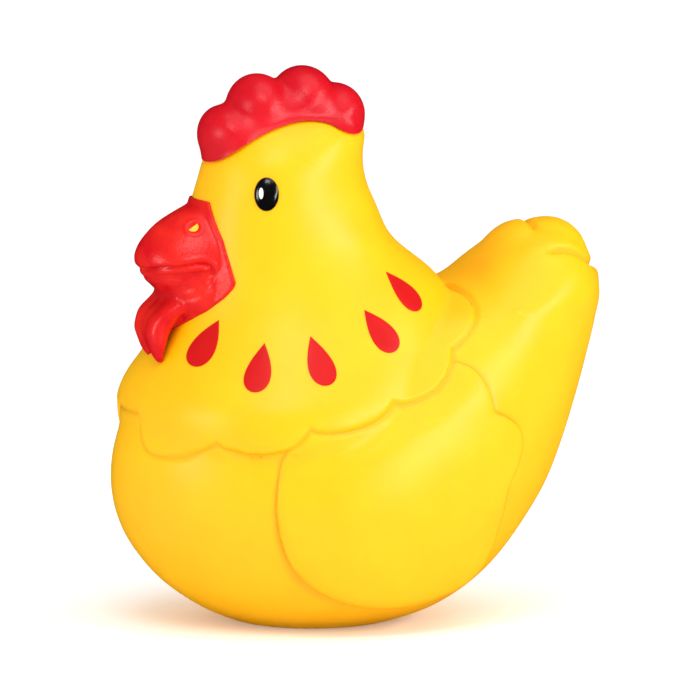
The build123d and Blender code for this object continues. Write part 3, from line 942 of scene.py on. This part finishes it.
# ---------------------------------------------------------------- squeaker
# A push-in squeaker of white plastic in the bore of the base: a flanged barrel, a reed seat, the wedge that
# clamps the reed, and a pierced end cap. The reed is a strip of clear stiff film that beats on its trough.

white_plastic, shader = mottled(
    "squeaker_plastic", (0.78, 0.77, 0.72, 1), (0.84, 0.83, 0.79, 1),
    patch=3, roughness=0.42, roughness_range=0.06, grain=0.25, grain_height=0.012,
)
shader.inputs["Subsurface Weight"].default_value = 0.2
shader.inputs["Subsurface Scale"].default_value = 1.0 * MM
reed_film, shader = mottled(
    "reed_film", (0.62, 0.66, 0.66, 1), (0.70, 0.73, 0.72, 1),
    patch=2, roughness=0.18, roughness_range=0.05, grain=0.2, grain_height=0.004,
)
shader.inputs["Transmission Weight"].default_value = 0.5
SQUEAKER = (
    "squeaker_barrel", "squeaker_reed_seat", "squeaker_reed_wedge", "squeaker_end_cap", "squeaker_reed",
)
for node in SQUEAKER:
    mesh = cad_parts[node].data
    mesh.materials.clear()
    mesh.materials.append(reed_film if node == "squeaker_reed" else white_plastic)

# ---------------------------------------------------------------- studio
# A plain white floor and white light from all round, neither of which mirrors in the gloss. A long strip
# draws the highlight on the wing, two small boxes light the beak and the comb, and a broad light is overhead.

FLOOR_HALF = 2500
FLOOR_LEVELS = (-2.0, -0.02)  # a hair under the base
corners = [(x * FLOOR_HALF, y * FLOOR_HALF) for x, y in ((-1, -1), (1, -1), (1, 1), (-1, 1))]
floor = tube("floor", [[(x, y, z) for x, y in corners] for z in FLOOR_LEVELS])
pale = bpy.data.materials.new("pale_floor")
pale.use_nodes = True
pale_shader = pale.node_tree.nodes["Principled BSDF"]
pale_shader.inputs["Base Color"].default_value = (0.95, 0.95, 0.95, 1)
pale_shader.inputs["Roughness"].default_value = 0.9
pale_shader.inputs["Specular IOR Level"].default_value = 0.0
pale_shader.inputs["Emission Color"].default_value = (1, 1, 1, 1)
pale_shader.inputs["Emission Strength"].default_value = 0.14
floor.data.materials.append(pale)
floor.visible_glossy = False

world = bpy.data.worlds.new("studio")
world.use_nodes = True
world.node_tree.nodes["Background"].inputs["Color"].default_value = (1, 1, 1, 1)
world.node_tree.nodes["Background"].inputs["Strength"].default_value = 0.66
bpy.context.scene.world = world
world.cycles_visibility.glossy = False


def softbox(name, place, aim, along, size, power):
    """Rectangular light at a place, turned towards a point, its first size lying along a direction."""
    lamp = bpy.data.lights.new(name, "AREA")
    lamp.shape = "RECTANGLE"
    lamp.size, lamp.size_y = size
    lamp.energy = power
    away = (place - aim).normalized()
    long_way = (along - along.dot(away) * away).normalized()
    holder = bpy.data.objects.new(name, lamp)
    holder.matrix_world = Matrix((long_way, away.cross(long_way), away)).transposed().to_4x4()
    holder.location = place
    bpy.context.scene.collection.objects.link(holder)


VIEW_TURN = math.radians(70)
VIEW_LIFT = math.radians(8)
RIGHT = Vector((math.cos(VIEW_TURN), math.sin(VIEW_TURN), 0))
LEVEL = math.cos(VIEW_LIFT)
BACK = Vector((math.sin(VIEW_TURN) * LEVEL, -math.cos(VIEW_TURN) * LEVEL, math.sin(VIEW_LIFT)))
UP = BACK.cross(RIGHT)
hen_middle = Vector((0, 0.006, 0.045))
strip_place = hen_middle + 0.51 * RIGHT + 0.36 * BACK + 0.18 * UP
strip_run = 0.36 * RIGHT - 0.76 * BACK + 0.47 * UP
softbox("wing_strip", strip_place, hen_middle, strip_run, (0.7, 0.07), 2.3)
front_place = hen_middle - 0.6 * RIGHT + 0.38 * BACK + 0.1 * UP
softbox("front_box", front_place, hen_middle, UP, (0.2, 0.2), 0.9)
top_place = hen_middle - 0.08 * RIGHT + 0.55 * BACK + 0.5 * UP
softbox("top_box", top_place, hen_middle, RIGHT, (0.3, 0.2), 1.0)
overhead = bpy.data.lights.new("overhead", "SUN")
overhead.energy = 0.9
overhead.angle = math.radians(60)
overhead_holder = bpy.data.objects.new("overhead", overhead)
from_above = 0.3 * BACK + 0.2 * RIGHT + 0.9 * UP
overhead_holder.rotation_euler = from_above.to_track_quat("Z", "Y").to_euler()
bpy.context.scene.collection.objects.link(overhead_holder)

# ---------------------------------------------------------------- camera
# A long lens, a little forward of the hen's left side and a little above it.

VIEW_WIDTH = 0.11327
DISTANCE = 2.4
camera_data = bpy.data.cameras.new("camera")
camera_data.sensor_width = 36
camera_data.lens = 36 * DISTANCE / VIEW_WIDTH
camera_data.clip_end = 10
camera = bpy.data.objects.new("camera", camera_data)
bpy.context.scene.collection.objects.link(camera)
aim = RIGHT * 0.00615 + UP * 0.04309
camera.location = aim + BACK * DISTANCE
camera.rotation_euler = (-BACK).to_track_quat("-Z", "Y").to_euler()
bpy.context.scene.camera = camera
bpy.context.scene.view_settings.view_transform = "Standard"
